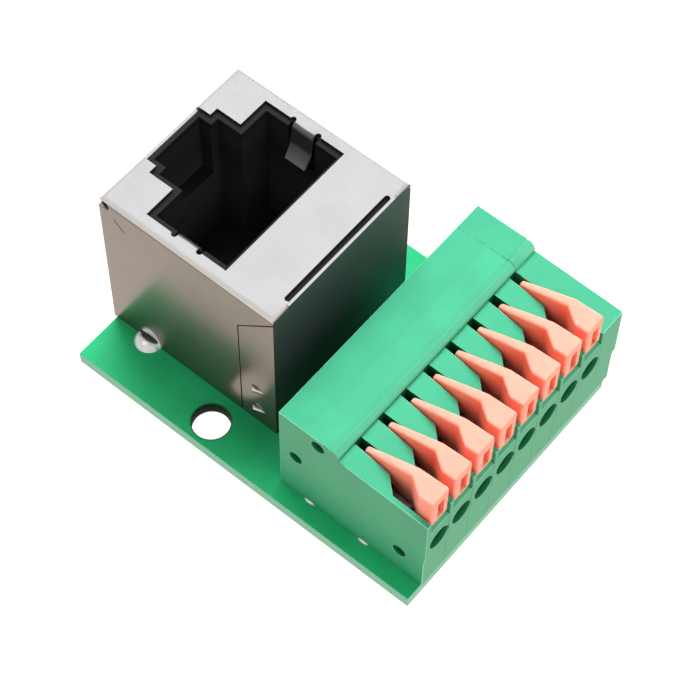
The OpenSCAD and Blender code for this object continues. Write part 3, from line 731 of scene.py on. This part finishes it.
def leg_place(side):
    """Where the shield's leg on a side, -1 or 1, passes the board."""
    return Vector((LEG_X, JACK_MID_Y + side * SHIELD_HALF, 0))


def add_joint(mesh, center, lead, sizes):
    """Adds a solder joint below the board: a concave cone from a foot down to near the lead's end."""
    top_light_paint = 0.06 * MM
    concave = 2.4
    steps = 9
    cap = 0.05 * MM
    tip_r = lead / 2 + top_light_paint
    foot_r = lead / 2 + sizes.joint_margin
    tall = UNDERSIDE - sizes.lead_end
    profile = [(0, UNDERSIDE)]
    for step in range(steps + 1):
        down = step / steps
        spread = (foot_r - tip_r) * (1 - down) ** concave
        profile.append((tip_r + spread, UNDERSIDE - down * tall))
    profile.append((0.75 * tip_r, sizes.lead_end - 0.8 * cap))
    profile.append((0, sizes.lead_end - cap))
    add_turned(mesh, profile, center)


def add_pad(mesh, center, radius, thickness):
    """Adds a round pad below the board."""
    low = UNDERSIDE - thickness
    add_turned(mesh, [(0, UNDERSIDE), (radius, UNDERSIDE), (radius, low), (0, low)], center)


def add_bead(mesh, pin):
    """Adds the solder of a pin on top of the board, which runs out from under the block."""
    run_out = 0.14 * MM
    radius = 0.95 * MM
    tall = 0.2 * MM
    profile = [(0, TOP)]
    for turn in quarter(6):
        profile.append((radius - tall * (1 - math.cos(turn)), TOP + tall * math.sin(turn)))
    profile.append((0, TOP + tall))
    add_turned(mesh, profile, Vector((pin.x, BLOCK_LOW.y - run_out + radius, 0)))


def add_dome(mesh, side):
    """Adds the half dome of solder that stands on the board against the shield."""
    foot_r = (LEG_HIGH.x - LEG_LOW.x) / 2
    dome_r = 0.92 * foot_r
    foot_z = TOP + 0.1 * MM
    profile = [(foot_r, TOP)]
    for turn in quarter(9)[1:]:
        up = (LEG_HIGH.z - foot_z) * math.sin(turn)
        profile.append((dome_r * math.cos(turn), foot_z + up))
    profile.append((0, TOP))
    start = 0 if side > 0 else math.pi
    add_turned(mesh, profile, leg_place(side), start, turn=math.pi, steps=20)


# Operators

class BREAKOUT_OT_board(bpy.types.Operator):
    """Rounds the board's edges and lays its pads and tracks"""

    bl_idname = "breakout.board"
    bl_label = "Board"

    def execute(self, context):
        sizes = context.scene.breakout_sizes
        mesh = merged_copy("pcb")
        round_corners(mesh, sizes.board_edge)
        top, edge, hole = range(3)
        for face in mesh.faces:
            if abs(face.normal.z) >= LEVEL:
                face.material_index = top
            else:
                face.material_index = edge if self.at_rim(face) else hole
        board = piece(
            mesh, "board", ROOT, "board",
            *(finish_of(maker, context) for maker in (solder_mask, laminate, drilled_hole_shade)))
        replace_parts(board, "pcb")
        self.lay_pads(context, sizes)
        self.lay_tracks(context, sizes)
        return {"FINISHED"}

    def at_rim(self, face):
        """True for a face at the outline of the board."""
        middle = face.calc_center_median()
        from_x = min(middle.x - BOARD_LOW.x, BOARD_HIGH.x - middle.x)
        from_y = min(middle.y - BOARD_LOW.y, BOARD_HIGH.y - middle.y)
        return min(from_x, from_y) < BOARD_RIM

    def lay_pads(self, context, sizes):
        mesh = bmesh.new()
        rim = sizes.joint_margin + sizes.pad_margin
        for place in lead_places():
            add_pad(mesh, place, LEAD_ROUND / 2 + rim, sizes.copper)
        for place in pin_places():
            add_pad(mesh, place, PIN_ROUND / 2 + rim, sizes.copper)
        for side in (-1, 1):
            add_pad(mesh, leg_place(side), LEG / 2 + rim, sizes.copper)
        for first_pole in list(pin_places())[:2]:
            add_bead(mesh, first_pole)
        piece(closed(mesh), "pads", ROOT, "solder", finish_of(bright_solder, context))

    def lay_tracks(self, context, sizes):
        mesh = bmesh.new()
        straight = 0.9 * MM
        ends = list(pin_places())[::2]
        for start, end in zip(lead_places(), ends):
            run = abs(end.y - start.y)
            turn_x = end.x - straight
            route = [start, Vector((turn_x - run, start.y, 0)), Vector((turn_x, end.y, 0)), end]
            half = Vector((0, sizes.track / 2, -UNDERSIDE))
            line = [mesh.verts.new(point - half) for point in route]
            edges = [mesh.edges.new(pair) for pair in zip(line, line[1:])]
            strip = bmesh.ops.extrude_edge_only(mesh, edges=edges)
            move_extruded(mesh, strip, (0, sizes.track, 0))
        tracks = bmesh.ops.extrude_face_region(mesh, geom=mesh.faces[:])
        move_extruded(mesh, tracks, (0, 0, -sizes.track_rise))
        bmesh.ops.recalc_face_normals(mesh, faces=mesh.faces)
        piece(mesh, "tracks", ROOT, "board", finish_of(masked_copper, context))


class BREAKOUT_OT_jack(bpy.types.Operator):
    """Finishes the jack's shield, housing, carrier and contacts"""

    bl_idname = "breakout.jack"
    bl_label = "Jack"

    def execute(self, context):
        sizes = context.scene.breakout_sizes
        mesh = merged_copy("jack_shield")
        round_corners(mesh, sizes.sheet_edge)
        shield = piece(mesh, "shield", ROOT, "shield", finish_of(nickel, context))
        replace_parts(shield, "jack_shield")
        mesh = merged_copy("jack_housing")
        round_corners(mesh, sizes.housing_edge)
        housing = piece(mesh, "housing", ROOT, "housing", finish_of(black_plastic, context))
        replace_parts(housing, "jack_housing")
        give("contact_carrier", finish_of(black_plastic, context))
        for k in WAYS:
            give(f"jack_contact_{k}", finish_of(gold_plating, context))
        return {"FINISHED"}


class BREAKOUT_OT_block(bpy.types.Operator):
    """Rounds the outer edges of the terminal block's slices and its end cover"""

    bl_idname = "breakout.block"
    bl_label = "Terminal block"

    def execute(self, context):
        sizes = context.scene.breakout_sizes
        plastic = finish_of(block_plastic, context), finish_of(block_painted_shade, context)
        walls = self.walls()
        for k in WAYS:
            node = f"terminal_slice_{k}"
            mesh = merged_copy(node)
            for face in mesh.faces:
                # Faces that look across at another wall get the painted shade of the wells.
                face.material_index = int(self.is_inside(face, walls))
            round_corners(mesh, sizes.block_edge, lambda edge: self.is_free(edge, k))
            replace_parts(piece(mesh, f"pole_{k}", ROOT, "block", *plastic), node)
        mesh = merged_copy("end_cover")
        round_corners(mesh, sizes.block_edge)
        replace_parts(piece(mesh, "cover", ROOT, "block", *plastic), "end_cover")
        return {"FINISHED"}

    def is_free(self, edge, k):
        """True for an edge of slice k that is neither at a joint to the next one nor at the groove."""
        joints = [BLOCK_LOW.y + pole * PITCH for pole in (k - 1, k) if pole > 0]
        at_joint = any(
            all(abs(vert.co.y - joint) < 2 * MERGE for vert in edge.verts) for joint in joints)
        at_groove = all(
            abs(vert.co.x - GROOVE_X) < GROOVE and vert.co.z > COVER_HIGH.z - GROOVE
            for vert in edge.verts)
        return not at_joint and not at_groove

    def walls(self):
        """All the walls of the block, to look for one in front of a face."""
        mesh = bmesh.new()
        for node in (*(f"terminal_slice_{k}" for k in WAYS), "end_cover"):
            mesh.from_mesh(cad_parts[node].data)
        tree = BVHTree.FromBMesh(mesh)
        mesh.free()
        return tree

    def is_inside(self, face, walls):
        """True where a face looks across at another wall of the block, as in a well or a funnel; such
        a face gets painted shade.
        """
        start = face.calc_center_median_weighted() + face.normal * WELL_START
        look = face.normal.copy()
        if FUNNEL_LEAST < look.x < FUNNEL_MOST:
            look.x = 0
        gap = walls.ray_cast(start, look, WELL_MOST)[3]
        return gap is not None and gap > WELL_LEAST


class BREAKOUT_OT_levers(bpy.types.Operator):
    """Rounds the levers' edges"""

    bl_idname = "breakout.levers"
    bl_label = "Levers"

    def execute(self, context):
        sizes = context.scene.breakout_sizes
        for k in WAYS:
            node = f"lever_{k}"
            mesh = merged_copy(node)
            round_corners(
                mesh, sizes.lever_edge, lambda edge: self.is_outer(edge, node, sizes.lever_edge), 3)
            lever = piece(mesh, f"push_lever_{k}", node, "levers", finish_of(lever_plastic, context))
            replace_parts(lever, node)
        return {"FINISHED"}

    def is_outer(self, edge, node, rim):
        """True for an edge that isn't one of the pit in the front of the lever's head."""
        low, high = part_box(node)
        middle_y = (low.y + high.y) / 2
        pit_half = (high.y - low.y) / 2 - rim
        return not all(
            vert.co.x > high.x - rim and abs(vert.co.y - middle_y) < pit_half
            for vert in edge.verts)


class BREAKOUT_OT_clamps(bpy.types.Operator):
    """Finishes the clamp springs and contact bars"""

    bl_idname = "breakout.clamps"
    bl_label = "Clamps"

    def execute(self, context):
        for k in WAYS:
            give(f"clamp_spring_{k}", finish_of(spring_steel, context))
            give(f"contact_bar_{k}", finish_of(tin_plating, context))
        return {"FINISHED"}


class BREAKOUT_OT_solder(bpy.types.Operator):
    """Draws the solder up the leads, the pins and the shield's legs"""

    bl_idname = "breakout.solder"
    bl_label = "Solder"

    def execute(self, context):
        sizes = context.scene.breakout_sizes
        solder = finish_of(bright_solder, context)
        mesh = bmesh.new()
        for place in lead_places():
            add_joint(mesh, place, LEAD_ROUND, sizes)
        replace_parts(piece(closed(mesh), "lead_joints", ROOT, "solder", solder), "jack_solder")
        mesh = bmesh.new()
        for place in pin_places():
            add_joint(mesh, place, PIN_ROUND, sizes)
        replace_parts(piece(closed(mesh), "pin_joints", ROOT, "solder", solder), "terminal_solder")
        mesh = bmesh.new()
        for side in (-1, 1):
            add_joint(mesh, leg_place(side), LEG, sizes)
            add_dome(mesh, side)
        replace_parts(piece(closed(mesh), "leg_joints", ROOT, "solder", solder), "shield_solder")
        return {"FINISHED"}


class BREAKOUT_OT_stage(bpy.types.Operator):
    """Lays the floor and sets the light and the camera"""

    bl_idname = "breakout.stage"
    bl_label = "Stage"

    def execute(self, context):
        scene = context.scene
        stage = scene.breakout_stage
        self.lay_floor(scene, stage)
        self.set_light(scene, stage)
        self.set_camera(scene, stage)
        scene.view_settings.view_transform = "Standard"
        return {"FINISHED"}

    def lay_floor(self, scene, stage):
        mesh = bmesh.new()
        bmesh.ops.create_grid(mesh, x_segments=1, y_segments=1, size=stage.floor / 2)
        bmesh.ops.translate(mesh, vec=(0, 0, FLOOR_Z), verts=mesh.verts)
        data = bpy.data.meshes.new("floor")
        mesh.to_mesh(data)
        mesh.free()
        data.materials.append(floor_paper(stage))
        floor = bpy.data.objects.new("floor", data)
        scene.collection.objects.link(floor)

    def set_light(self, scene, stage):
        world = bpy.data.worlds.new("Studio room")
        world.use_nodes = True
        room = world.node_tree.nodes["Background"].inputs
        room["Color"].default_value = (1, 1, 1, 1)
        room["Strength"].default_value = stage.ambient
        scene.world = world
        key = self.add_panel(scene, "Key softbox", KEY_PLACE, KEY_SIDE, stage.key)
        key.data.color = stage.key_tint
        key.visible_glossy = False
        fill = self.add_panel(scene, "Fill panel", FILL_PLACE, FILL_SIDE, stage.fill)
        fill.visible_glossy = False
        card = self.add_panel(scene, "Mirror card", CARD_PLACE, CARD_SIDE, stage.card)
        card.visible_diffuse = False

    def add_panel(self, scene, name, place, side, brightness):
        """Adds a square panel of light that faces the board."""
        data = bpy.data.lights.new(name, "AREA")
        data.shape = "SQUARE"
        data.size = side
        data.energy = math.pi * brightness * side * side
        panel = bpy.data.objects.new(name, data)
        panel.location = place
        panel.rotation_euler = (-place).to_track_quat("-Z", "Y").to_euler()
        panel.visible_camera = False
        scene.collection.objects.link(panel)
        return panel

    def set_camera(self, scene, stage):
        data = bpy.data.cameras.new("Camera")
        data.sensor_width = SENSOR_MM
        data.lens = stage.lens
        data.clip_start = CLIP_NEAR
        data.clip_end = CLIP_FAR
        camera = bpy.data.objects.new("Camera", data)
        tilt = Matrix.Rotation(math.pi / 2 - stage.elevation, 4, "X")
        turned = Matrix.Rotation(stage.azimuth, 4, "Z") @ tilt
        aimed = turned @ Matrix.Rotation(stage.roll, 4, "Z")
        back = turned @ Vector((0, 0, stage.distance))
        camera.matrix_world = Matrix.Translation(Vector(stage.target) + back) @ aimed
        scene.collection.objects.link(camera)
        scene.camera = camera


class BREAKOUT_PT_sidebar(bpy.types.Panel):
    """Lists the breakout board's pieces, finishes and stage"""

    bl_idname = "BREAKOUT_PT_sidebar"
    bl_label = "Breakout board"
    bl_space_type = "VIEW_3D"
    bl_region_type = "UI"
    bl_category = "Breakout"

    def draw(self, context):
        for maker in MAKERS:
            self.layout.operator(maker.bl_idname)
        for name in GROUPS:
            group = getattr(context.scene, name)
            box = self.layout.box()
            for setting in group.__annotations__:
                box.prop(group, setting)


GROUPS = {
    "breakout_colors": BreakoutColors,
    "breakout_sizes": BreakoutSizes,
    "breakout_stage": BreakoutStage,
}
MAKERS = (
    BREAKOUT_OT_board, BREAKOUT_OT_jack, BREAKOUT_OT_block, BREAKOUT_OT_levers,
    BREAKOUT_OT_clamps, BREAKOUT_OT_solder, BREAKOUT_OT_stage,
)


def register():
    for name, group in GROUPS.items():
        bpy.utils.register_class(group)
        setattr(bpy.types.Scene, name, PointerProperty(type=group))
    for maker in MAKERS:
        bpy.utils.register_class(maker)
    bpy.utils.register_class(BREAKOUT_PT_sidebar)


def unregister():
    bpy.utils.unregister_class(BREAKOUT_PT_sidebar)
    for maker in reversed(MAKERS):
        bpy.utils.unregister_class(maker)
    for name, group in reversed(GROUPS.items()):
        delattr(bpy.types.Scene, name)
        bpy.utils.unregister_class(group)


def main():
    register()
    bpy.ops.breakout.board()
    bpy.ops.breakout.jack()
    bpy.ops.breakout.block()
    bpy.ops.breakout.levers()
    bpy.ops.breakout.clamps()
    bpy.ops.breakout.solder()
    bpy.ops.breakout.stage()


if __name__ == "__main__":
    main()
